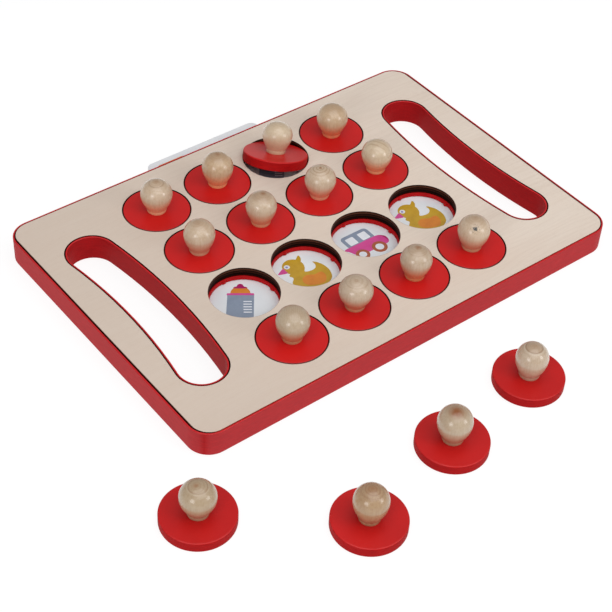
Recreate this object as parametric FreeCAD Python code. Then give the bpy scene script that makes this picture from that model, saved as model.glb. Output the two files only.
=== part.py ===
import FreeCAD, Part
import math
import os

# Wooden memory board. Millimetres, +Z up, origin at the centre of the underside.
# +X runs along the board's long side, +Y points to the back, where the card slides out.

# Board outline and layers, from the table up
BOARD_L = 327.4
BOARD_W = 219.2
CORNER_R = 14.5
BASE_T = 7.3
CARD_GAP = 1.55
DECK_T = 2.65
PLATE_T = 6.5
BOARD_T = BASE_T + CARD_GAP + DECK_T + PLATE_T
DECK_TOP = BOARD_T - PLATE_T
DECK_UNDER = DECK_TOP - DECK_T

# Thin lip of the tray around the plywood plate and around each hand slot
LIP_W = 1.0
LIP_DROP = 0.1
LIP_ROUND = 0.4
FOOT_ROUND = 1.0
PLATE_GAP_X = 1.1
PLATE_GAP_Y = 0.6

# Grid of wells
PITCH = 48.3
ROWS = "abcd"
COLUMNS = "1234"
HOLE_R = 22.5
SEAT_R = 21.7

# Four small nubs in each seat that carry the disc: (angle, distance of the tip from the centre)
NUBS = ((0.0, 20.45), (90.0, 20.9), (180.0, 20.45), (270.0, 20.9))
NUB_R = 2.0

# Hand slots: a band bent towards the middle of the board, with round ends
SLOT_X = 124.85
SLOT_BEND_R = 375.0
SLOT_END_Y = 60.3
SLOT_W = 34.0
SLOT_GAP = 0.95

# Picture card and its pocket
CARD_T = 1.1
CARD_L = 202.0
CARD_FRONT_Y = -98.0
CARD_BACK_Y = 108.6
POCKET_CLEAR = 1.0
TAB_X0 = -47.5
TAB_X1 = 43.5
TAB_END_Y = 124.6
TAB_R = 5.0

# Pegs: a disc with a turned knob glued into it
DISC_R = 22.0
DISC_T = 6.5
DISC_TOP_ROUND = 0.8
DISC_FOOT_ROUND = 0.4
TENON_R = 4.0
TENON_L = 4.9
BORE_R = 4.05
BORE_DEPTH = 5.1
# Usual knob, from the foot to the crown: (height, radius)
KNOB_FOOT = ((0.0, 6.3), (1.0, 6.55), (2.4, 6.65))
KNOB_BODY = ((4.6, 7.75), (7.5, 9.15), (10.2, 10.05), (12.7, 10.4), (15.2, 10.15),
             (17.7, 9.2), (19.8, 7.6), (21.4, 5.5), (22.3, 3.3))
KNOB_BALL_R = 10.4
CROWN_H = 22.7
# The knobs are turned by hand and differ a little: (ball radius, height)
KNOB_SIZES = {
    "a1": (10.4, 22.7), "a2": (10.4, 23.6), "a3": (10.2, 21.2), "a4": (10.65, 23.1),
    "b1": (10.05, 22.7), "b2": (10.05, 22.7), "b3": (10.4, 22.2), "b4": (10.4, 22.7),
    "c1": (10.6, 22.5), "c2": (10.25, 24.0), "c3": (10.45, 24.0), "c4": (10.0, 23.4),
    "d1": (10.4, 22.7), "d2": (10.7, 21.9), "d3": (10.1, 22.4), "d4": (10.4, 23.3),
}

# Loose pegs of the open row, standing on the table in front of the board
LOOSE = {"c1": (-188.6, -141.2), "c2": (-115.1, -198.4), "c3": (-39.6, -181.7), "c4": (32.4, -169.9)}

# Peg a3 leans in its well, its knob pointing up and back
LEANING = "a3"
LEAN_TILT = 19.7
LEAN_AZIMUTH = 40.3
LEAN_TOP = (24.59, 73.16, BOARD_T + 4.1)

UP = FreeCAD.Vector(0, 0, 1)


def vec(x, y, z=0.0):
    return FreeCAD.Vector(x, y, z)


def prism(wire, z0, z1):
    """Solid between two heights from a closed wire drawn at z = 0."""
    face = Part.Face(wire)
    face.translate(vec(0, 0, z0))
    return face.extrude(vec(0, 0, z1 - z0))


def rounded_rect(x0, x1, y0, y1, radius):
    """Closed wire of a rectangle with rounded corners."""
    edges = []
    corners = ((x1, y0, 1, -1), (x1, y1, 1, 1), (x0, y1, -1, 1), (x0, y0, -1, -1))
    ends = []
    for cx, cy, sx, sy in corners:
        mid = vec(cx - sx * radius, cy - sy * radius)
        first = vec(0, sy * radius) if sx * sy < 0 else vec(sx * radius, 0)
        last = vec(sx * radius, 0) if sx * sy < 0 else vec(0, sy * radius)
        diagonal = vec(sx, sy)
        diagonal.normalize()
        edges.append(Part.Arc(mid + first, mid + diagonal * radius, mid + last).toShape())
        ends.append((mid + first, mid + last))
    for i in range(4):
        edges.append(Part.makeLine(ends[i][1], ends[(i + 1) % 4][0]))
    return Part.Wire(Part.__sortEdges__(edges))


def board_wire(inset_x=0.0, inset_y=0.0):
    """The board's outline, moved inwards."""
    hx = BOARD_L / 2 - inset_x
    hy = BOARD_W / 2 - inset_y
    return rounded_rect(-hx, hx, -hy, hy, CORNER_R - max(inset_x, inset_y))


def slot_wire(side, width):
    """Closed wire of one hand slot, side -1 left or +1 right, with round ends."""
    centre = vec(side * (SLOT_X + SLOT_BEND_R), 0)
    half = width / 2
    angle = math.asin(SLOT_END_Y / SLOT_BEND_R)

    def at(radius, turn):
        return centre + vec(-side * radius * math.cos(turn), radius * math.sin(turn))

    near = SLOT_BEND_R - half
    far = SLOT_BEND_R + half
    tip = half / SLOT_BEND_R
    edges = [
        Part.Arc(at(near, -angle), at(near, 0), at(near, angle)).toShape(),
        Part.Arc(at(near, angle), at(SLOT_BEND_R, angle + tip), at(far, angle)).toShape(),
        Part.Arc(at(far, angle), at(far, 0), at(far, -angle)).toShape(),
        Part.Arc(at(far, -angle), at(SLOT_BEND_R, -angle - tip), at(near, -angle)).toShape(),
    ]
    return Part.Wire(Part.__sortEdges__(edges))


def well_centres():
    """Grid name and centre of every well, back row first."""
    wells = []
    for j, row in enumerate(ROWS):
        for i, column in enumerate(COLUMNS):
            wells.append((row + column, (i - 1.5) * PITCH, (1.5 - j) * PITCH))
    return wells


def round_edges(shape, radius, wanted):
    """Fillet the edges that the test picks."""
    return shape.makeFillet(radius, [edge for edge in shape.Edges if wanted(edge)])


def edges_at(z):
    """Test for edges that lie wholly at one height."""
    def test(edge):
        box = edge.BoundBox
        return abs(box.ZMin - z) < 1e-4 and abs(box.ZMax - z) < 1e-4
    return test


SLOT_OPEN_W = SLOT_W - 2 * (SLOT_GAP + LIP_W)


# ---- base board ---------------------------------------------------------------------------
def make_base():
    base = prism(board_wire(), 0.0, BASE_T)
    for side in (-1, 1):
        base = base.cut(prism(slot_wire(side, SLOT_OPEN_W), -1.0, BASE_T + 1.0))
    return round_edges(base, FOOT_ROUND, edges_at(0.0))


# ---- tray body ----------------------------------------------------------------------------
def make_nub(x, y, angle, reach):
    """Upright half-round nub that stands out of a seat's wall."""
    turn = math.radians(angle)
    centre = reach + NUB_R
    foot = vec(x + centre * math.cos(turn), y + centre * math.sin(turn), DECK_UNDER)
    return Part.makeCylinder(NUB_R, DECK_T, foot, UP)


def make_tray():
    lip_top = BOARD_T - LIP_DROP
    tray = prism(board_wire(), BASE_T, lip_top)
    recess = prism(board_wire(LIP_W, LIP_W), DECK_TOP, BOARD_T + 1.0)
    pocket_x = CARD_L / 2 + POCKET_CLEAR
    pocket = Part.makeBox(2 * pocket_x, BOARD_W, CARD_GAP, vec(-pocket_x, CARD_FRONT_Y - POCKET_CLEAR, BASE_T))
    for side in (-1, 1):
        recess = recess.cut(prism(slot_wire(side, SLOT_W - 2 * SLOT_GAP), DECK_TOP, BOARD_T + 1.0))
    tray = tray.cut(recess)
    tray = tray.cut(pocket)
    for side in (-1, 1):
        tray = tray.cut(prism(slot_wire(side, SLOT_OPEN_W), BASE_T - 1.0, BOARD_T))
    outer_x = BOARD_L / 2 - 0.2
    outer_y = BOARD_W / 2 - 0.2

    def rim(edge):
        box = edge.BoundBox
        on_top = edges_at(lip_top)(edge)
        outside = max(abs(box.XMin), abs(box.XMax)) > outer_x or max(abs(box.YMin), abs(box.YMax)) > outer_y
        mid = edge.valueAt((edge.FirstParameter + edge.LastParameter) / 2)
        return on_top and (outside or slot_inner_edge(mid))

    tray = round_edges(tray, LIP_ROUND, rim)
    for name, x, y in well_centres():
        tray = tray.cut(Part.makeCylinder(SEAT_R, DECK_T + 2.0, vec(x, y, DECK_UNDER - 1.0)))
    for name, x, y in well_centres():
        for angle, reach in NUBS:
            tray = tray.fuse(make_nub(x, y, angle, reach))
    return tray.removeSplitter()


def slot_inner_edge(point):
    """True for a point on the wall of a hand slot's clear opening."""
    for side in (-1, 1):
        centre = vec(side * (SLOT_X + SLOT_BEND_R), 0)
        across = abs((vec(point.x, point.y) - centre).Length - SLOT_BEND_R)
        if abs(point.y) < SLOT_END_Y and abs(across - SLOT_OPEN_W / 2) < 0.05:
            return True
        end_angle = math.asin(SLOT_END_Y / SLOT_BEND_R)
        end = centre + vec(-side * SLOT_BEND_R * math.cos(end_angle), math.copysign(SLOT_END_Y, point.y))
        if abs((vec(point.x, point.y) - end).Length - SLOT_OPEN_W / 2) < 0.05:
            return True
    return False


# ---- plywood plate ------------------------------------------------------------------------
def make_plate():
    plate = prism(board_wire(LIP_W + PLATE_GAP_X, LIP_W + PLATE_GAP_Y), DECK_TOP, BOARD_T)
    for side in (-1, 1):
        plate = plate.cut(prism(slot_wire(side, SLOT_W), DECK_TOP - 1.0, BOARD_T + 1.0))
    for name, x, y in well_centres():
        plate = plate.cut(Part.makeCylinder(HOLE_R, PLATE_T + 2.0, vec(x, y, DECK_TOP - 1.0)))
    return plate


# ---- picture card -------------------------------------------------------------------------
def make_card():
    sheet = prism(rounded_rect(-CARD_L / 2, CARD_L / 2, CARD_FRONT_Y, CARD_BACK_Y, 2.0), BASE_T, BASE_T + CARD_T)
    tab = prism(rounded_rect(TAB_X0, TAB_X1, CARD_BACK_Y - 20.0, TAB_END_Y, TAB_R), BASE_T, BASE_T + CARD_T)
    return sheet.fuse(tab).removeSplitter()


# ---- pegs ---------------------------------------------------------------------------------
def make_disc():
    """Cover disc with its top face at z = 0 and a blind bore for the knob's tenon."""
    disc = Part.makeCylinder(DISC_R, DISC_T, vec(0, 0, -DISC_T))
    disc = round_edges(disc, DISC_TOP_ROUND, edges_at(0.0))
    disc = round_edges(disc, DISC_FOOT_ROUND, edges_at(-DISC_T))
    return disc.cut(Part.makeCylinder(BORE_R, BORE_DEPTH + 1.0, vec(0, 0, -BORE_DEPTH)))


def make_knob(ball_r, height):
    """Turned knob standing on z = 0, its tenon below."""
    wider = ball_r / KNOB_BALL_R
    taller = height / CROWN_H
    foot = [vec(r, 0, h) for h, r in KNOB_FOOT]
    body = [foot[-1]]
    for h, r in KNOB_BODY:
        share = min(1.0, (h - KNOB_FOOT[-1][0]) / 7.0)
        body.append(vec(r * (1.0 + (wider - 1.0) * share), 0, h * (1.0 + (taller - 1.0) * share)))
    crown = vec(0, 0, height)
    curve = Part.BSplineCurve()
    curve.interpolate(body + [crown])
    edges = [
        Part.makeLine(vec(0, 0, -TENON_L), vec(TENON_R, 0, -TENON_L)),
        Part.makeLine(vec(TENON_R, 0, -TENON_L), vec(TENON_R, 0, 0)),
        Part.makeLine(vec(TENON_R, 0, 0), foot[0]),
        Part.Arc(foot[0], foot[1], foot[2]).toShape(),
        curve.toShape(),
        Part.makeLine(crown, vec(0, 0, -TENON_L)),
    ]
    profile = Part.Face(Part.Wire(edges))
    return profile.revolve(vec(0, 0, 0), UP, 360)


def place_peg(shape, name, x, y):
    """Move a peg's piece from its own frame to where the peg rests."""
    piece = shape.copy()
    if name in LOOSE:
        loose_x, loose_y = LOOSE[name]
        piece.translate(vec(loose_x, loose_y, DISC_T))
    elif name == LEANING:
        azimuth = math.radians(LEAN_AZIMUTH)
        axis = vec(-math.sin(azimuth), math.cos(azimuth))
        piece.rotate(vec(0, 0, 0), axis, LEAN_TILT)
        piece.translate(vec(*LEAN_TOP))
    else:
        piece.translate(vec(x, y, BOARD_T))
    return piece


def export(shape, node):
    shape.exportStep("parts/" + node + ".step")


os.makedirs("parts", exist_ok=True)
export(make_base(), "base_board")
export(make_tray(), "tray_body")
export(make_plate(), "top_plate")
export(make_card(), "picture_card")
for peg, well_x, well_y in well_centres():
    export(place_peg(make_disc(), peg, well_x, well_y), "disc_" + peg)
    export(place_peg(make_knob(*KNOB_SIZES[peg]), peg, well_x, well_y), "knob_" + peg)
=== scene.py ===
import math
import random

import bmesh
import bpy
from mathutils import Matrix, Vector


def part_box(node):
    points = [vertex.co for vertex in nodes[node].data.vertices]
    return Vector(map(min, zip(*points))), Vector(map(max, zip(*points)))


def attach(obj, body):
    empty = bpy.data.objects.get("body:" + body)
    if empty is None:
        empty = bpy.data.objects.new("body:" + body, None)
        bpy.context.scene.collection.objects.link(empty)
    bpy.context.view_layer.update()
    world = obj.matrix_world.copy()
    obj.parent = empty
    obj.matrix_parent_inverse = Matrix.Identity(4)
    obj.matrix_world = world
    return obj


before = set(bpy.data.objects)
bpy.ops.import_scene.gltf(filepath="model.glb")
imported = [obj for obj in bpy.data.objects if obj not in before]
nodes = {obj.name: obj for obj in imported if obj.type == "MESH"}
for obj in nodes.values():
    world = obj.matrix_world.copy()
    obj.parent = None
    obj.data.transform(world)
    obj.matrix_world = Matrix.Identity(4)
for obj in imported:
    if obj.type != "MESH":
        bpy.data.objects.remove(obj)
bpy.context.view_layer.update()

# Lengths are in millimetres until they reach a mesh or a node. The camera, lights and floor are in metres.
MM = 0.001
ROWS = "abcd"
COLUMNS = "1234"
PEGS = [row + column for row in ROWS for column in COLUMNS]
OPEN_ROW = "c"
LEANING = "a3"

# The CAD model's well grid
PITCH = 48.3
HOLE_R = 22.5
GRID_HALF = 2 * PITCH


def box_mm(node):
    """Lowest and highest corner of a CAD node, in millimetres."""
    low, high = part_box(node)
    return Vector(low) / MM, Vector(high) / MM


PLATE_LOW, PLATE_HIGH = box_mm("top_plate")
BOARD_HIGH = box_mm("tray_body")[1]
CARD_HIGH = box_mm("picture_card")[1]


def well_centre(peg):
    """Centre of a peg's well on the board."""
    column = COLUMNS.index(peg[1])
    row = ROWS.index(peg[0])
    return Vector(((column - 1.5) * PITCH, (1.5 - row) * PITCH))


def rgb(r, g, b):
    """Linear colour from 0 to 255 display values."""
    def linear(v):
        v /= 255.0
        return v / 12.92 if v <= 0.04045 else ((v + 0.055) / 1.055) ** 2.4
    return (linear(r), linear(g), linear(b), 1.0)


# ---- material nodes -----------------------------------------------------------------------
class Shader:
    """One node material, built a node at a time. Values are sockets or numbers."""

    def __init__(self, name):
        self.material = bpy.data.materials.new(name)
        self.material.use_nodes = True
        self.tree = self.material.node_tree
        self.tree.nodes.clear()
        output = self.tree.nodes.new("ShaderNodeOutputMaterial")
        self.surface = self.tree.nodes.new("ShaderNodeBsdfPrincipled")
        self.tree.links.new(self.surface.outputs[0], output.inputs["Surface"])
        self.coords = self.tree.nodes.new("ShaderNodeTexCoord")

    def put(self, socket, value):
        if isinstance(value, bpy.types.NodeSocket):
            self.tree.links.new(value, socket)
        elif value is not None:
            socket.default_value = value

    def node(self, kind, *values, **settings):
        made = self.tree.nodes.new(kind)
        for key, value in settings.items():
            setattr(made, key, value)
        for socket, value in zip(made.inputs, values):
            self.put(socket, value)
        return made

    def math(self, operation, a, b=None):
        return self.node("ShaderNodeMath", a, b, operation=operation).outputs[0]

    def plus(self, a, b):
        return self.math("ADD", a, b)

    def minus(self, a, b):
        return self.math("SUBTRACT", a, b)

    def times(self, a, b):
        return self.math("MULTIPLY", a, b)

    def absolute(self, a):
        return self.math("ABSOLUTE", a)

    def vector(self, operation, a, b=None):
        made = self.node("ShaderNodeVectorMath", a, b, operation=operation)
        return made.outputs["Value" if operation in ("LENGTH", "DOT_PRODUCT") else "Vector"]

    def scaled(self, vector, scale):
        return self.vector("MULTIPLY", vector, scale)

    def split(self, vector):
        return self.node("ShaderNodeSeparateXYZ", vector).outputs

    def join(self, x, y, z):
        return self.node("ShaderNodeCombineXYZ", x, y, z).outputs[0]

    def smooth(self, value, low, high):
        """0 at low, 1 at high, smooth between; low may be the larger."""
        made = self.node("ShaderNodeMapRange", value, interpolation_type="SMOOTHSTEP")
        ends = (low, high, 0.0, 1.0) if low < high else (high, low, 1.0, 0.0)
        for socket, end in zip(made.inputs[1:5], ends):
            socket.default_value = end
        return made.outputs[0]

    def tint(self, colour, mask, strength, other):
        """The colour mixed with another one, where the mask is 1 and as far as the strength."""
        made = self.tree.nodes.new("ShaderNodeMix")
        made.data_type = "RGBA"
        self.put(made.inputs["Factor"], self.times(mask, strength))
        self.put(made.inputs[6], colour)
        self.put(made.inputs[7], other)
        return made.outputs[2]

    def ramp(self, value, stops):
        """Colour along a list of (place, colour) stops."""
        made = self.node("ShaderNodeValToRGB", value)
        elements = made.color_ramp.elements
        while len(elements) < len(stops):
            elements.new(0.5)
        for element, (place, colour) in zip(elements, stops):
            element.position = place
            element.color = colour
        return made.outputs[0]

    def noise(self, place, scale, detail, roughness):
        """Noise from 0 to 1. The scale is features per millimetre: one number, or one for each axis."""
        if isinstance(scale, tuple):
            place = self.scaled(place, scale)
            scale = 1.0
        made = self.tree.nodes.new("ShaderNodeTexNoise")
        self.put(made.inputs["Vector"], place)
        made.inputs["Scale"].default_value = scale
        made.inputs["Detail"].default_value = detail
        made.inputs["Roughness"].default_value = roughness
        return made.outputs["Fac"]

    def position(self):
        """Position on the object at rest, in millimetres."""
        return self.scaled(self.coords.outputs["Object"], (1 / MM, 1 / MM, 1 / MM))

    def from_axis(self, place):
        """Distance of a place from the Z axis."""
        return self.vector("LENGTH", self.scaled(place, (1.0, 1.0, 0.0)))

    def upness(self):
        """How far the surface faces up or down: 1 on a level face, 0 on a wall."""
        return self.absolute(self.split(self.coords.outputs["Normal"])[2])

    def bump(self, height, distance, strength):
        made = self.tree.nodes.new("ShaderNodeBump")
        self.put(made.inputs["Height"], height)
        made.inputs["Strength"].default_value = strength
        made.inputs["Distance"].default_value = distance * MM
        self.put(self.surface.inputs["Normal"], made.outputs[0])

    def finish(self, colour, roughness, coat=0.0, coat_roughness=0.1, specular=0.5):
        self.put(self.surface.inputs["Base Color"], colour)
        self.put(self.surface.inputs["Roughness"], roughness)
        self.put(self.surface.inputs["Coat Weight"], coat)
        self.put(self.surface.inputs["Coat Roughness"], coat_roughness)
        self.put(self.surface.inputs["Specular IOR Level"], specular)
        return self.material


# ---- plywood ------------------------------------------------------------------------------
# Char through the plate's thickness, from its underside at 0 to its top at 1; the dark red at the bottom
# is painted reflection of the red lacquer, and the pale ply near the top is partly painted glint
PLY_TONES = (
    (0.00, rgb(54, 14, 8)), (0.15, rgb(48, 12, 7)), (0.20, rgb(22, 8, 5)), (0.40, rgb(16, 6, 4)),
    (0.46, rgb(64, 30, 19)), (0.54, rgb(52, 23, 14)), (0.60, rgb(14, 5, 3)), (0.66, rgb(18, 7, 4)),
    (0.72, rgb(94, 56, 42)), (0.86, rgb(76, 42, 30)), (0.93, rgb(24, 9, 6)), (1.00, rgb(16, 6, 4)),
)
SCORCH_WIDTH = 0.30
END_SCORCH_WIDTH = 0.55


def veneer(s, p, fibre, pores):
    """Birch face: broad tone and wavy growth figure, drawn out along X, with painted shade darkening it to
    the left and front.
    """
    x, y = s.split(p)[0:2]
    broad = s.noise(p, (0.010, 0.045, 0.0), 3.0, 0.55)
    bend = s.noise(p, (0.006, 0.03, 0.0), 2.0, 0.5)
    across = s.plus(s.times(y, 0.17), s.times(bend, 9.0))
    figure = s.math("SINE", s.times(across, math.tau))
    face = s.ramp(broad, [(0.30, rgb(234, 220, 206)), (0.70, rgb(227, 210, 195))])
    # Painted shade: the face darkens toward the left and, less, toward the front
    wavy_x = s.plus(x, s.times(s.minus(broad, 0.5), 120.0))
    left = s.smooth(wavy_x, 180.0, -200.0)
    front = s.smooth(y, -70.0, -125.0)
    face = s.tint(face, s.plus(left, s.times(front, 0.25)), 0.66, rgb(202, 184, 169))
    face = s.tint(face, s.smooth(figure, -0.2, 1.0), 0.09, rgb(205, 184, 166))
    face = s.tint(face, s.smooth(fibre, 0.45, 0.72), 0.26, rgb(205, 186, 170))
    return s.tint(face, pores, 0.24, rgb(180, 152, 130))


def scorch(s, p, x, on_grid):
    """Hair-thin scorch on the face, beside every laser-cut well and along the plate's two ends."""
    cell = s.vector("FRACTION", s.scaled(p, (1 / PITCH, 1 / PITCH, 0.0)))
    from_centre = s.times(s.from_axis(s.vector("SUBTRACT", cell, (0.5, 0.5, 0.0))), PITCH)
    rings = s.times(s.smooth(from_centre, HOLE_R + SCORCH_WIDTH, HOLE_R), on_grid)
    to_end = s.minus(PLATE_HIGH.x, s.absolute(x))
    return s.math("MAXIMUM", rings, s.smooth(to_end, END_SCORCH_WIDTH, 0.05))


def charred_plies(s, y, z, around, on_grid):
    """Laser-cut wall: plies charred to different depths, with painted red reflection low down and a pale
    ply that is partly painted glint; redder where red lacquer stands beside it.
    """
    height = s.math("DIVIDE", s.minus(z, PLATE_LOW.z), PLATE_HIGH.z - PLATE_LOW.z)
    height = s.plus(height, s.times(s.minus(around, 0.5), 0.05))
    char = s.ramp(height, PLY_TONES)
    char = s.tint(char, s.smooth(around, 0.35, 0.75), 0.35, rgb(18, 8, 5))
    char = s.tint(char, s.minus(1.0, on_grid), 0.60, rgb(100, 18, 8))
    to_side = s.minus(PLATE_HIGH.y, s.absolute(y))
    return s.tint(char, s.smooth(to_side, 1.0, 0.5), 0.85, rgb(196, 78, 60))


def plywood():
    s = Shader("birch_plywood")
    p = s.position()
    x, y, z = s.split(p)
    fibre = s.noise(p, (0.035, 1.5, 0.0), 4.0, 0.62)
    pores = s.smooth(s.noise(p, (0.22, 3.6, 0.0), 2.0, 0.6), 0.60, 0.74)
    around = s.noise(p, (0.22, 0.22, 1.6), 3.0, 0.6)
    wells_x = s.math("LESS_THAN", s.absolute(x), GRID_HALF)
    wells_y = s.math("LESS_THAN", s.absolute(y), GRID_HALF)
    on_grid = s.times(wells_x, wells_y)
    wall = s.smooth(s.upness(), 0.7, 0.3)

    face = veneer(s, p, fibre, pores)
    face = s.tint(face, scorch(s, p, x, on_grid), s.plus(0.30, s.times(fibre, 0.4)), rgb(112, 76, 56))
    colour = s.tint(face, wall, 1.0, charred_plies(s, y, z, around, on_grid))
    face_relief = s.plus(s.times(fibre, 0.7), s.times(pores, -0.6))
    face_relief = s.times(face_relief, s.minus(1.0, wall))
    wall_relief = s.times(s.times(around, 1.6), wall)
    s.bump(s.plus(face_relief, wall_relief), 0.06, 0.8)
    roughness = s.plus(0.46, s.times(fibre, 0.16))
    roughness = s.minus(roughness, s.times(wall, 0.14))
    return s.finish(colour, roughness, specular=s.minus(0.40, s.times(wall, 0.38)))


# ---- red lacquer --------------------------------------------------------------------------
# Pale red of the scuffs on walls, and of the painted highlight along sharp edges
SCUFF_AND_HIGHLIGHT_RED = rgb(204, 70, 72)
STREAK_RED = rgb(128, 10, 16)
# Pale painted sheen on the board's outer walls
PAINTED_SHEEN_RED = rgb(162, 64, 68)
# Painted shade on the walls of the hand slots
SLOT_SHADE_RED = rgb(122, 3, 8)
BEVEL_RADIUS = 0.7

# How far each seed moves the pattern
SEED_STEP = (13.7, 7.3)

# Distances from the board's outside at which the painted sheen on its outer walls starts and is full
SHEEN_START = 5.7
SHEEN_FULL = 1.7


def beside_edges(s):
    """1 beside a sharp edge: only there does a bevelled normal differ from the true one."""
    bevel = s.tree.nodes.new("ShaderNodeBevel")
    bevel.samples = 4
    bevel.inputs["Radius"].default_value = BEVEL_RADIUS * MM
    geometry = s.tree.nodes.new("ShaderNodeNewGeometry")
    along = s.vector("DOT_PRODUCT", bevel.outputs[0], geometry.outputs["Normal"])
    return s.smooth(along, 0.995, 0.90)


def red_lacquer(name, bright, dark, seed, gloss, side, side_share, side_start, side_end, sheen_and_slot_shade=0.0):
    """Sprayed lacquer: drifting tone, orange peel, fine scuffs and a painted highlight along sharp edges.

    The side tone, painted shade on walls, comes in as upness falls from side_start to side_end. The
    board's share in the last argument sets two marks of painted light: a pale painted sheen on its outer
    walls, and painted shade on the walls of its hand slots.
    """
    s = Shader(name)
    p = s.vector("ADD", s.position(), (seed * SEED_STEP[0], seed * SEED_STEP[1], 0.0))
    tone = s.noise(p, (0.03, 0.03, 0.06), 3.0, 0.55)
    peel = s.noise(p, 0.55, 2.0, 0.5)
    grain = s.noise(p, (0.16, 0.16, 2.2), 3.0, 0.6)
    scuff = s.smooth(s.noise(p, (0.07, 0.07, 1.5), 4.0, 0.7), 0.60, 0.78)
    speck = s.smooth(s.noise(p, 1.7, 2.0, 0.5), 0.70, 0.80)
    wall = s.smooth(s.upness(), 0.75, 0.3)
    # Painted highlight along sharp edges, broken up by the grain
    edge = s.times(beside_edges(s), s.smooth(grain, 0.35, 0.70))

    x, y = s.split(s.position())[0:2]
    to_end = s.minus(BOARD_HIGH.x, s.absolute(x))
    to_side = s.minus(BOARD_HIGH.y, s.absolute(y))
    # Near the board's outside, where the painted sheen goes
    outside = s.smooth(s.math("MINIMUM", to_end, to_side), SHEEN_START, SHEEN_FULL)
    # The hand slots' walls, which get painted shade
    in_slot = s.times(s.smooth(s.absolute(x), GRID_HALF, GRID_HALF + 4.0), s.minus(1.0, outside))

    colour = s.ramp(tone, [(0.32, dark), (0.68, bright)])
    colour = s.tint(colour, speck, 0.25, dark)
    colour = s.tint(colour, s.times(scuff, wall), 0.22, SCUFF_AND_HIGHLIGHT_RED)
    colour = s.tint(colour, edge, 0.35, SCUFF_AND_HIGHLIGHT_RED)
    # Painted shade: the side tone on walls
    colour = s.tint(colour, s.smooth(s.upness(), side_start, side_end), side_share, side)
    colour = s.tint(colour, s.times(s.smooth(grain, 0.40, 0.62), wall), 0.38, STREAK_RED)
    # Pale painted sheen on the board's outer walls
    colour = s.tint(colour, s.times(outside, wall), sheen_and_slot_shade, PAINTED_SHEEN_RED)
    # Painted shade on the walls of the hand slots
    colour = s.tint(colour, s.times(in_slot, wall), sheen_and_slot_shade, SLOT_SHADE_RED)
    s.bump(s.plus(peel, s.times(s.times(grain, wall), 0.6)), 0.04, 0.6)
    roughness = s.plus(gloss, s.times(s.plus(scuff, grain), 0.08))
    roughness = s.plus(roughness, s.times(wall, 0.25))
    return s.finish(colour, roughness, specular=s.minus(0.34, s.times(wall, 0.27)))


# ---- turned wood --------------------------------------------------------------------------
CROWN_TONE = rgb(158, 125, 96)
RING_TONE = rgb(146, 108, 78)
PORE_TONE = rgb(138, 104, 76)
KNOT_TONE = rgb(14, 10, 8)

# Heights above the disc at which the painted warm reflection of the red disc, low on the knob, starts and
# is full
FOOT_BOUNCE_START = 15.5
FOOT_BOUNCE_FULL = 4.0


def growth_radius(s, p, shifted, ragged, look):
    """Wavy distance from the pith, an axis that need not be the knob's own."""
    grain = Vector(look["grain"]).normalized()
    wander = s.noise(shifted, (0.10, 0.10, 0.04), 2.0, 0.5)
    from_pith = s.vector("SUBTRACT", p, look["pith"])
    length = s.vector("DOT_PRODUCT", from_pith, tuple(grain))
    along = s.vector("MULTIPLY", s.join(length, length, length), tuple(grain))
    radius = s.vector("LENGTH", s.vector("SUBTRACT", from_pith, along))
    radius = s.plus(radius, s.times(s.minus(wander, 0.5), 3.2))
    return s.plus(radius, s.times(s.minus(ragged, 0.5), 0.5))


def dead_knot(s, p, shifted, place):
    """Small black knot with a few dots round it."""
    away = s.vector("LENGTH", s.vector("SUBTRACT", p, place))
    core = s.plus(away, s.times(s.noise(shifted, 1.1, 2.0, 0.6), 2.6))
    dots = s.smooth(s.noise(shifted, 1.3, 2.0, 0.6), 0.56, 0.66)
    dots = s.times(dots, s.smooth(away, 4.2, 2.4))
    return s.math("MAXIMUM", s.smooth(core, 3.0, 2.3), s.times(dots, 0.85))


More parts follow.
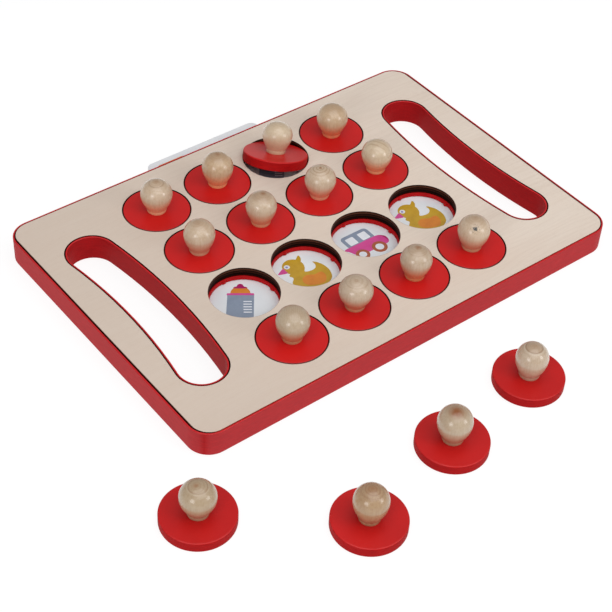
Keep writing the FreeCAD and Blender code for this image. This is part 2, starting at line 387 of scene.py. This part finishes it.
def turned_wood(peg, axis_point, tilt, azimuth, look):
    """Clear-lacquered knob wood: growth rings, a brown heart in the crown, streaks and lathe lines."""
    s = Shader("turned_wood_" + peg)
    phase = random.Random("knob " + peg).uniform(0.0, 50.0)
    p = s.vector("SUBTRACT", s.position(), tuple(axis_point))
    normal = s.coords.outputs["Normal"]
    if tilt:
        turn = Matrix.Rotation(-tilt, 3, Vector((-math.sin(azimuth), math.cos(azimuth), 0.0)))
        p = s.join(*[s.vector("DOT_PRODUCT", p, tuple(row)) for row in turn])
        normal = s.join(*[s.vector("DOT_PRODUCT", normal, tuple(row)) for row in turn])
    z = s.split(p)[2]
    crown = s.smooth(s.split(normal)[2], 0.66, 0.95)
    shifted = s.vector("ADD", p, (phase, phase * 0.7, phase * 0.3))
    ragged = s.noise(shifted, (0.6, 0.6, 0.2), 3.0, 0.6)
    streak = s.noise(shifted, (0.95, 0.95, 0.05), 3.0, 0.6)
    pores = s.smooth(s.noise(shifted, (3.0, 3.0, 0.16), 2.0, 0.6), 0.58, 0.74)
    patch = s.noise(shifted, (0.10, 0.10, 0.06), 2.0, 0.5)

    colour = s.tint(look["light"], s.smooth(patch, 0.35, 0.70), 0.35, look["dark"])
    # Painted warm reflection of the red disc, strongest low on the knob
    foot = s.smooth(z, FOOT_BOUNCE_START, FOOT_BOUNCE_FULL)
    colour = s.tint(colour, foot, look["amber"], look["amber_colour"])
    # Darker crown: end grain, and partly painted shade on the knob's top
    colour = s.tint(colour, crown, look["crown"], CROWN_TONE)
    turns = s.times(growth_radius(s, p, shifted, ragged, look), math.tau / look["ring"])
    rings = s.smooth(s.math("SINE", turns), 0.0, 1.0)
    ring_share = s.plus(look["side_rings"], s.times(crown, look["rings"]))
    colour = s.tint(colour, rings, ring_share, RING_TONE)
    colour = s.tint(colour, s.smooth(streak, 0.42, 0.68), 0.42, look["dark"])
    colour = s.tint(colour, pores, 0.32, PORE_TONE)
    heart = s.from_axis(s.vector("SUBTRACT", p, look["pith"]))
    heart = s.plus(heart, s.times(s.minus(ragged, 0.5), 2.4))
    heart = s.times(s.smooth(heart, look["heart_size"], 0.3), crown)
    colour = s.tint(colour, heart, look["heart"], look["heart_colour"])
    for line_radius, half_width, share, line_tone in look["lines"]:
        away = s.absolute(s.minus(s.from_axis(p), line_radius))
        line = s.times(s.smooth(away, half_width, half_width * 0.3), crown)
        colour = s.tint(colour, line, share, line_tone)
    if "knot" in look:
        colour = s.tint(colour, dead_knot(s, p, shifted, look["knot"]), 1.0, KNOT_TONE)

    lathe = s.noise(s.join(0.0, 0.0, s.times(z, 2.6)), 1.0, 3.0, 0.6)
    relief = s.plus(s.times(lathe, 0.8), s.times(pores, -0.5))
    s.bump(s.plus(relief, s.times(streak, 0.4)), 0.04, 0.6)
    roughness = s.plus(0.36, s.times(streak, 0.14))
    return s.finish(colour, roughness, coat=1.0, coat_roughness=0.20, specular=0.35)


# ---- printed card -------------------------------------------------------------------------
def card_stock():
    """White laminated card with paper layers in its cut edge."""
    s = Shader("laminated_card")
    p = s.position()
    cloud = s.noise(p, 0.03, 2.0, 0.5)
    weave = s.noise(p, 2.2, 3.0, 0.6)
    colour = s.ramp(cloud, [(0.35, rgb(240, 243, 245)), (0.65, rgb(231, 234, 238))])
    colour = s.tint(colour, s.smooth(weave, 0.50, 0.70), 0.12, rgb(212, 216, 222))
    layers = s.math("SINE", s.times(s.split(p)[2], 22.0))
    edge = s.tint(rgb(214, 210, 202), s.smooth(layers, -0.4, 0.6), 1.0, rgb(186, 180, 170))
    colour = s.tint(colour, s.smooth(s.upness(), 0.7, 0.3), 1.0, edge)
    s.bump(weave, 0.015, 0.6)
    return s.finish(colour, s.plus(0.30, s.times(weave, 0.12)), coat=0.3, coat_roughness=0.2)


def ink(name, colour, shade):
    """Printed ink with a faint screen and slightly uneven cover."""
    s = Shader("ink_" + name)
    p = s.position()
    cover = s.noise(p, 0.16, 3.0, 0.6)
    screen = s.noise(p, 3.2, 1.0, 0.5)
    mixed = s.tint(colour, s.smooth(cover, 0.40, 0.72), 0.55, shade)
    mixed = s.tint(mixed, s.smooth(screen, 0.52, 0.66), 0.16, shade)
    s.bump(screen, 0.008, 0.5)
    return s.finish(mixed, s.plus(0.32, s.times(screen, 0.10)), coat=0.25, coat_roughness=0.2)


INKS = {
    "yellow": ink("yellow", rgb(202, 160, 40), rgb(184, 140, 28)),
    "orange": ink("orange", rgb(222, 136, 44), rgb(206, 116, 38)),
    "pink": ink("pink", rgb(216, 74, 150), rgb(202, 56, 134)),
    "magenta": ink("magenta", rgb(176, 32, 100), rgb(150, 20, 84)),
    "grey": ink("grey", rgb(140, 152, 172), rgb(124, 136, 156)),
    "rust": ink("rust", rgb(176, 92, 56), rgb(156, 76, 46)),
    "white": ink("white", rgb(236, 238, 244), rgb(222, 226, 236)),
    "violet": ink("violet", rgb(150, 140, 196), rgb(128, 118, 180)),
    "green": ink("green", rgb(120, 160, 74), rgb(98, 138, 58)),
    "blue": ink("blue", rgb(96, 148, 190), rgb(76, 126, 172)),
    "red": ink("red", rgb(196, 60, 54), rgb(172, 44, 42)),
}


# ---- pictures -----------------------------------------------------------------------------
# Outlines are in millimetres from the middle of a well, and later shapes lie on earlier ones.
def turned_point(x, y, angle, dx=0.0, dy=0.0):
    """A point turned about the origin by an angle in degrees, then moved."""
    c = math.cos(math.radians(angle))
    s = math.sin(math.radians(angle))
    return (dx + x * c - y * s, dy + x * s + y * c)


def ellipse(cx, cy, rx, ry=None, start=0.0, end=360.0, count=48, turn=0.0):
    """Outline of an ellipse, or of the arc of one between two angles."""
    ry = rx if ry is None else ry
    whole = abs(end - start) >= 360.0
    points = []
    for i in range(count if whole else count + 1):
        a = math.radians(start + (end - start) * i / count)
        points.append(turned_point(rx * math.cos(a), ry * math.sin(a), turn, cx, cy))
    return points


def flowing(points, count=8):
    """Closed smooth outline through the points."""
    result = []
    n = len(points)
    for i in range(n):
        a, b, c, d = (Vector(points[(i + k) % n]) for k in (-1, 0, 1, 2))
        for k in range(count):
            t = k / count
            bend = (2 * a - 5 * b + 4 * c - d) * t * t + (3 * b - a - 3 * c + d) * t ** 3
            result.append(tuple(0.5 * (2 * b + (c - a) * t + bend)))
    return result


def soft_box(x0, x1, y0, y1, r):
    """Rectangle with rounded corners."""
    corners = ((x1 - r, y1 - r, 0), (x0 + r, y1 - r, 90), (x0 + r, y0 + r, 180), (x1 - r, y0 + r, 270))
    return [point for cx, cy, a in corners for point in ellipse(cx, cy, r, r, a, a + 90, 6)]


def turned(shapes, angle, dx=0.0, dy=0.0):
    """Shapes turned about the origin, then moved."""
    result = []
    for colour, outline in shapes:
        result.append((colour, [turned_point(x, y, angle, dx, dy) for x, y in outline]))
    return result


def duck():
    body = flowing([(-9.4, 4.6), (-9.2, 0.8), (-12.6, -3.2), (-9.6, -8.2), (-3.0, -12.9), (5.6, -14.9),
                    (11.6, -12.2), (14.6, -6.0), (14.4, 0.4), (12.4, 4.8), (10.4, 6.6), (10.2, 3.4),
                    (8.2, 0.9), (4.6, 0.4), (0.8, 2.0), (3.2, 5.4), (2.0, 8.6)])
    tuft = flowing([(-0.6, 14.0), (2.6, 14.2), (6.4, 16.6), (6.2, 13.4), (3.6, 10.4), (0.2, 9.6)])
    wing = flowing([(-6.2, -6.4), (-4.6, -2.6), (-0.4, -1.4), (4.0, -3.6), (9.2, -4.0), (9.6, -8.6),
                    (6.0, -12.8), (0.6, -12.4), (-4.4, -9.8)])
    bill = flowing([(-15.2, 9.0), (-11.6, 11.0), (-9.2, 11.6), (-9.0, 9.0), (-9.2, 6.8), (-12.0, 7.4)])
    return [("yellow", body), ("yellow", ellipse(-2.8, 9.5, 7.2)), ("yellow", tuft), ("orange", wing),
            ("pink", bill), ("white", ellipse(-6.3, 11.6, 1.9)), ("violet", ellipse(-6.5, 11.5, 0.85))]


def car():
    body = flowing([(-14.0, 3.0), (-4.0, 3.2), (8.0, 3.2), (13.4, 2.6), (16.6, -0.6), (16.4, -5.0),
                    (13.0, -7.0), (2.0, -7.0), (-8.0, -6.6), (-10.6, -4.6), (-12.4, -0.6)])
    nose = flowing([(13.2, 2.6), (15.4, 1.2), (16.8, -1.0), (16.6, -3.6), (15.8, -5.4), (15.7, -2.0),
                    (14.8, 0.6)])
    return [("grey", soft_box(-10.6, 11.0, 1.0, 13.6, 3.0)),
            ("white", soft_box(-8.0, -1.6, 3.9, 11.0, 0.8)), ("white", soft_box(2.1, 8.4, 3.9, 11.0, 0.8)),
            ("pink", body), ("magenta", nose),
            ("rust", ellipse(-6.6, -6.6, 4.7)), ("white", ellipse(-6.6, -6.6, 2.6)),
            ("rust", ellipse(7.1, -6.9, 5.2)), ("white", ellipse(7.1, -6.9, 2.9))]


# The scale printed on the bottle
BOTTLE_MARKS = 5
LOWEST_MARK = -7.9
MARK_SPACING = 2.39
MARK_HALF = 0.45


def bottle():
    teat = flowing([(-3.9, 13.7), (3.9, 13.7), (3.8, 14.9), (2.3, 15.5), (1.6, 17.0), (0.0, 17.9),
                    (-1.6, 17.0), (-2.3, 15.5), (-3.8, 14.9)])
    shapes = [("orange", ellipse(0.0, 9.0, 6.3, 6.4, 0, 180, 24)), ("magenta", teat),
              ("pink", soft_box(-8.6, 8.6, 7.1, 9.2, 0.8)),
              ("grey", [(-8.2, 7.4), (-9.3, -13.6), (7.8, -13.6), (8.5, 7.4)])]
    for i in range(BOTTLE_MARKS):
        middle = LOWEST_MARK + MARK_SPACING * i
        shapes.append(("white", soft_box(1.65, 6.95, middle - MARK_HALF, middle + MARK_HALF, 0.3)))
    return turned(shapes, -35.0, -1.64, 1.42)


def apple():
    fruit = flowing([(0.0, 8.0), (4.6, 9.6), (9.8, 7.0), (10.8, 0.6), (8.4, -7.0), (4.0, -11.2),
                     (0.0, -10.2), (-4.0, -11.2), (-8.4, -7.0), (-10.8, 0.6), (-9.8, 7.0), (-4.6, 9.6)])
    return [("rust", [(-0.7, 7.0), (0.7, 7.0), (1.7, 13.6), (0.3, 13.8)]), ("red", fruit),
            ("green", flowing([(1.2, 10.6), (4.6, 13.8), (9.0, 13.6), (6.6, 10.8)])),
            ("white", ellipse(-5.6, 3.6, 1.3, 2.6, turn=-24))]


def flower():
    shapes = [("green", soft_box(-0.8, 0.8, -15.6, -3.0, 0.4)),
              ("green", flowing([(0.4, -12.6), (5.2, -8.8), (8.4, -9.2), (5.2, -12.4)]))]
    for i in range(6):
        petal = ellipse(7.0, 0.0, 4.6, 3.5)
        shapes += turned([("pink", petal)], 60 * i + 30, 0.0, 4.0)
    return shapes + [("yellow", ellipse(0.0, 4.0, 4.2)), ("orange", ellipse(0.0, 4.0, 2.2))]


def boat():
    hull = flowing([(-13.4, -3.6), (-4.0, -4.0), (6.0, -4.0), (13.8, -3.0), (10.2, -9.4), (0.0, -11.2),
                    (-9.6, -9.8)])
    return [("rust", soft_box(-0.6, 0.6, -4.6, 13.6, 0.3)), ("blue", hull),
            ("yellow", [(1.4, 12.8), (1.4, -2.2), (11.0, -2.2)]),
            ("orange", [(-1.4, 10.4), (-1.4, -2.2), (-8.8, -2.2)])]


def ball():
    r = 12.6
    shapes = [("blue", ellipse(0.0, 0.0, r))]
    for i, colour in enumerate(("yellow", "pink", "green")):
        a = 120 * i + 90
        shapes.append((colour, [(0.0, 0.0)] + ellipse(0.0, 0.0, r, r, a - 30, a + 30, 16)))
    return shapes + [("white", ellipse(0.0, 0.0, 2.6))]


def sun():
    shapes = []
    ray = [(-1.5, 10.2), (1.5, 10.2), (0.0, 15.4)]
    for i in range(10):
        shapes += turned([("orange", ray)], 36.0 * i)
    return shapes + [("yellow", ellipse(0.0, 0.0, 9.0)), ("orange", ellipse(0.0, 0.0, 6.6)),
                     ("yellow", ellipse(0.0, 0.0, 5.8))]


PICTURES = {
    "a1": apple, "a2": sun, "a3": bottle, "a4": boat, "b1": flower, "b2": car, "b3": ball, "b4": apple,
    "c1": bottle, "c2": duck, "c3": car, "c4": duck, "d1": ball, "d2": flower, "d3": sun, "d4": boat,
}
INK_LAYER = 0.006


def print_shapes(name, shapes, centre):
    """Thin printed layers, the later ones on top, as one mesh that moves with the card."""
    mesh = bpy.data.meshes.new(name)
    piece = bpy.data.objects.new(name, mesh)
    bpy.context.scene.collection.objects.link(piece)
    used = []
    for colour, outline in shapes:
        if colour not in used:
            used.append(colour)
            mesh.materials.append(INKS[colour])
    bm = bmesh.new()
    for level, (colour, outline) in enumerate(shapes):
        area = sum(a[0] * b[1] - b[0] * a[1] for a, b in zip(outline, outline[1:] + outline[:1]))
        ordered = outline if area > 0 else outline[::-1]
        places = [(centre[0] + x, centre[1] + y) for x, y in ordered]
        top = CARD_HIGH.z + INK_LAYER * (level + 1)
        upper = [bm.verts.new((x * MM, y * MM, top * MM)) for x, y in places]
        lower = [bm.verts.new((x * MM, y * MM, CARD_HIGH.z * MM)) for x, y in places]
        faces = [bm.faces.new(upper)]
        n = len(ordered)
        for i in range(n):
            faces.append(bm.faces.new((lower[i], lower[(i + 1) % n], upper[(i + 1) % n], upper[i])))
        for face in faces:
            face.material_index = used.index(colour)
    bm.normal_update()
    bmesh.ops.triangulate(bm, faces=[f for f in bm.faces if len(f.verts) > 4], ngon_method="EAR_CLIP")
    bm.to_mesh(mesh)
    bm.free()
    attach(piece, "card")


for peg in PEGS:
    print_shapes("picture_" + peg, PICTURES[peg](), well_centre(peg))

# A plain mark near the end of the card's tab
TAB_MARK = [("orange", soft_box(-40.0, -20.0, CARD_HIGH.y - 14.0, CARD_HIGH.y - 4.6, 0.8))]
print_shapes("tab_mark", TAB_MARK, (0.0, 0.0))


# ---- materials on the CAD nodes -----------------------------------------------------------
def dress(node, material):
    piece = nodes[node]
    piece.data.materials.clear()
    piece.data.materials.append(material)


BOARD_RED = red_lacquer("red_lacquer_board", rgb(200, 24, 28), rgb(184, 19, 23), seed=1.0, gloss=0.26,
                        side=rgb(194, 22, 26), side_share=0.70, side_start=0.75, side_end=0.3, sheen_and_slot_shade=0.45)
dress("top_plate", plywood())
dress("tray_body", BOARD_RED)
dress("base_board", BOARD_RED)
dress("picture_card", card_stock())

CREAM = (rgb(203, 182, 157), rgb(182, 152, 121))
OAT = (rgb(193, 173, 150), rgb(172, 146, 119))
HONEY = (rgb(200, 174, 142), rgb(178, 144, 108))
PALE = (rgb(210, 190, 162), rgb(192, 166, 136))
GREYISH = (rgb(184, 165, 140), rgb(164, 140, 112))
SMOKY = (rgb(174, 153, 125), rgb(156, 130, 98))
TAN = (rgb(172, 142, 108), rgb(150, 113, 78))
BROWN_HEART = rgb(150, 104, 66)
ORANGE_HEART = rgb(136, 74, 22)
# Tones of the painted warm reflection of the red disc on the knobs' lower bodies
DISC_BOUNCE = rgb(194, 124, 74)
BRIGHT_DISC_BOUNCE = rgb(246, 166, 112)
DULL_DISC_BOUNCE = rgb(170, 128, 90)
PALE_LINE = rgb(206, 190, 168)
DARK_LINE = rgb(138, 106, 80)


def knob_look(tones, **features):
    """What sets one knob apart: its tones, growth rings, heart, painted reflection of the red disc low on
    the knob, and lines on the crown.

    Light and dark are its tones. Pith is a point on the axis of the rings, grain is the way that axis
    runs, and ring is the rings' spacing. Rings, side_rings, crown, amber (painted warm reflection of the
    red disc, low on the knob) and heart are shares from 0 to 1. A line on the crown is its radius, half
    width, share and tone.
    """
    look = dict(light=tones[0], dark=tones[1], pith=(0.8, -0.6, 0.0), grain=(0.0, 0.0, 1.0), ring=1.7,
                rings=0.10, side_rings=0.04, crown=0.55, amber=0.45, amber_colour=DISC_BOUNCE,
                heart=0.30, heart_size=3.2, heart_colour=BROWN_HEART, lines=())
    look.update(features)
    return look


KNOBS = {
    "a1": knob_look(CREAM, pith=(0.2, 0.4, 0.0), heart=0.45, heart_size=3.6, crown=0.25,
                    amber=0.60, amber_colour=BRIGHT_DISC_BOUNCE, lines=((4.6, 0.5, 0.45, DARK_LINE),)),
    "a2": knob_look(HONEY, pith=(0.0, 0.3, 0.0), heart=0.70, heart_size=2.6, crown=0.60,
                    amber=0.80, amber_colour=BRIGHT_DISC_BOUNCE),
    "a3": knob_look(PALE, crown=0.10, amber=0.25, heart=0.10),
    "a4": knob_look(HONEY, pith=(14.0, 9.0, 0.0), grain=(0.3, -0.2, 1.0), ring=1.3, rings=0.08,
                    heart=0.0, crown=0.45, amber=0.85, amber_colour=rgb(234, 138, 90)),
    "b1": knob_look(CREAM, pith=(-1.0, 0.6, 0.0), crown=0.32, heart_size=4.5, amber=0.50),
    "b2": knob_look(CREAM, pith=(1.2, 0.2, 0.0), heart=0.90, heart_size=2.8, crown=0.62,
                    amber=0.65, amber_colour=rgb(222, 142, 86)),
    "b3": knob_look(CREAM, pith=(-0.4, 0.6, 0.0), ring=1.95, rings=0.50, heart=0.85, heart_size=1.6,
                    side_rings=0.0, crown=0.15, amber=0.60, amber_colour=rgb(244, 150, 104)),
    "b4": knob_look(PALE, pith=(-16.0, -4.0, 26.0), grain=(-0.55, 1.0, 0.25), ring=3.1, rings=0.30,
                    side_rings=0.10, heart=0.0, crown=0.12, amber=0.85, amber_colour=rgb(238, 160, 106)),
    "c1": knob_look(SMOKY, pith=(-0.8, 0.4, 0.0), ring=1.9, rings=0.22, heart=0.65, heart_size=2.6,
                    crown=0.12, amber=0.28, amber_colour=DULL_DISC_BOUNCE,
                    lines=((5.2, 0.45, 0.40, DARK_LINE), (6.0, 0.4, 0.30, PALE_LINE))),
    "c2": knob_look(TAN, pith=(0.0, 0.2, 0.0), ring=1.8, rings=0.62, heart=0.65, heart_size=5.5,
                    crown=0.45, amber=0.10, amber_colour=DULL_DISC_BOUNCE, lines=((6.6, 0.7, 0.40, DARK_LINE),)),
    "c3": knob_look(GREYISH, pith=(-1.3, -1.0, 0.0), rings=0.18, heart=1.0, heart_size=6.0, crown=0.60,
                    amber=0.50, amber_colour=rgb(166, 118, 80), heart_colour=ORANGE_HEART),
    "c4": knob_look(OAT, pith=(0.0, 0.0, 0.0), rings=0.06, heart=0.25, crown=0.45, amber=0.15,
                    lines=((5.1, 0.7, 0.70, DARK_LINE), (5.9, 0.7, 0.90, PALE_LINE),
                           (6.9, 0.4, 0.45, DARK_LINE))),
    "d1": knob_look(GREYISH, pith=(19.0, -16.0, 0.0), ring=1.3, rings=0.18, side_rings=0.0, heart=0.0,
                    crown=0.22, amber=0.70),
    "d2": knob_look(OAT, pith=(-1.4, -0.8, 0.0), ring=3.0, rings=0.18, heart=0.20, crown=0.08,
                    amber=0.72, lines=((6.8, 0.5, 0.40, DARK_LINE),)),
    "d3": knob_look(OAT, pith=(0.8, 0.4, 0.0), heart=0.85, heart_size=3.0, crown=0.35,
                    amber=0.90, amber_colour=rgb(206, 128, 76), lines=((5.9, 0.5, 0.30, DARK_LINE),)),
    "d4": knob_look(CREAM, pith=(0.0, 0.6, 0.0), crown=0.42, amber=0.55, knot=(-4.6, -5.4, 20.1)),
}

# Where the CAD model stands the leaning peg: the top of its disc, and the tilt of its axis
LEAN_TILT = math.radians(19.7)
LEAN_AZIMUTH = math.radians(40.3)
LEAN_TOP = Vector((24.59, 73.16, PLATE_HIGH.z + 4.1))


def disc_axis(peg):
    """Point on a peg's axis at the top of its disc."""
    if peg == LEANING:
        return LEAN_TOP
    low, high = box_mm("disc_" + peg)
    return Vector(((low.x + high.x) / 2, (low.y + high.y) / 2, high.z))


LOOSE_FACE = dict(bright=rgb(197, 20, 20), dark=rgb(184, 15, 16))
SEATED_FACE = dict(bright=rgb(205, 21, 21), dark=rgb(193, 16, 17))
# Painted shade on the discs' sides: darker walls on the open discs, and near black rims and walls on the
# seated discs, where the gap lies in shade
OPEN_SIDE_SHADE = dict(side=rgb(160, 15, 17), side_share=0.70, side_start=0.75, side_end=0.3)
SHADED_SIDE = dict(side=rgb(58, 6, 4), side_share=0.90, side_start=0.985, side_end=0.80)

for index, peg in enumerate(PEGS):
    loose = peg[0] == OPEN_ROW
    face = LOOSE_FACE if loose else SEATED_FACE
    side = OPEN_SIDE_SHADE if loose or peg == LEANING else SHADED_SIDE
    tilt = LEAN_TILT if peg == LEANING else 0.0
    red = red_lacquer("red_lacquer_disc_" + peg, seed=2.0 + index, gloss=0.34, **face, **side)
    dress("disc_" + peg, red)
    dress("knob_" + peg, turned_wood(peg, disc_axis(peg), tilt, LEAN_AZIMUTH, KNOBS[peg]))


# ---- camera -------------------------------------------------------------------------------
# Fitted to the photograph by the wells, which are equal circles on a square grid
CAMERA_AZIMUTH = math.radians(-40.176)
CAMERA_ELEVATION = math.radians(43.314)
CAMERA_ROLL = math.radians(3.515)
CAMERA_DISTANCE = 0.933314
CAMERA_TARGET = Vector((-0.048949, -0.055671, 0.018))
SENSOR = 36.0
LENS = 89.943

back = Vector((math.sin(CAMERA_AZIMUTH) * math.cos(CAMERA_ELEVATION),
               -math.cos(CAMERA_AZIMUTH) * math.cos(CAMERA_ELEVATION), math.sin(CAMERA_ELEVATION)))
right = (-back).cross(Vector((0, 0, 1))).normalized()
up = right.cross(-back)
rolled_right = right * math.cos(CAMERA_ROLL) + up * math.sin(CAMERA_ROLL)
rolled_up = -right * math.sin(CAMERA_ROLL) + up * math.cos(CAMERA_ROLL)
camera_data = bpy.data.cameras.new("camera")
camera_data.sensor_width = SENSOR
camera_data.lens = LENS
camera_data.clip_start = 0.01
camera_data.clip_end = 50.0
camera = bpy.data.objects.new("camera", camera_data)
bpy.context.scene.collection.objects.link(camera)
axes = Matrix((rolled_right, rolled_up, back)).transposed().to_4x4()
camera.matrix_world = Matrix.Translation(CAMERA_TARGET + back * CAMERA_DISTANCE) @ axes
bpy.context.scene.camera = camera


# ---- floor and light ----------------------------------------------------------------------
FLOOR_HALF = 6.0
FLOOR_DROP = 0.0003
FLOOR_GLOW = 0.87
LAMP_DISTANCE = 1.5
LAMP_AIM = Vector((0.0, 0.0, 0.02))
WORLD_STRENGTH = 0.38


def floor():
    """White floor, a hair below the object."""
    mesh = bpy.data.meshes.new("floor")
    signs = ((-1, -1), (1, -1), (1, 1), (-1, 1))
    corners = [(x * FLOOR_HALF, y * FLOOR_HALF, -FLOOR_DROP) for x, y in signs]
    mesh.from_pydata(corners, [], [(0, 1, 2, 3)])
    piece = bpy.data.objects.new("floor", mesh)
    bpy.context.scene.collection.objects.link(piece)
    s = Shader("white_floor")
    s.surface.inputs["Emission Color"].default_value = (1.0, 1.0, 1.0, 1.0)
    s.surface.inputs["Emission Strength"].default_value = FLOOR_GLOW
    mesh.materials.append(s.finish(rgb(112, 112, 112), 0.9, specular=0.1))


def softbox(name, towards, width, power):
    """Square area light that faces the board."""
    data = bpy.data.lights.new(name, "AREA")
    data.shape = "SQUARE"
    data.size = width
    data.energy = power
    lamp = bpy.data.objects.new(name, data)
    bpy.context.scene.collection.objects.link(lamp)
    place = towards.normalized() * LAMP_DISTANCE
    lamp.location = LAMP_AIM + place
    lamp.rotation_mode = "QUATERNION"
    lamp.rotation_quaternion = place.to_track_quat("Z", "Y")


floor()
softbox("key", Vector((0.40, -0.84, 0.38)), width=0.50, power=3.6)
softbox("fill", Vector((-0.86, -0.36, 0.36)), width=0.50, power=4.2)
softbox("over", Vector((-0.06, -0.40, 1.1)), width=1.7, power=14.5)
world = bpy.data.worlds.new("studio")
world.use_nodes = True
world.node_tree.nodes["Background"].inputs["Color"].default_value = (1.0, 1.0, 1.0, 1.0)
world.node_tree.nodes["Background"].inputs["Strength"].default_value = WORLD_STRENGTH
bpy.context.scene.world = world
bpy.context.scene.view_settings.view_transform = "Standard"
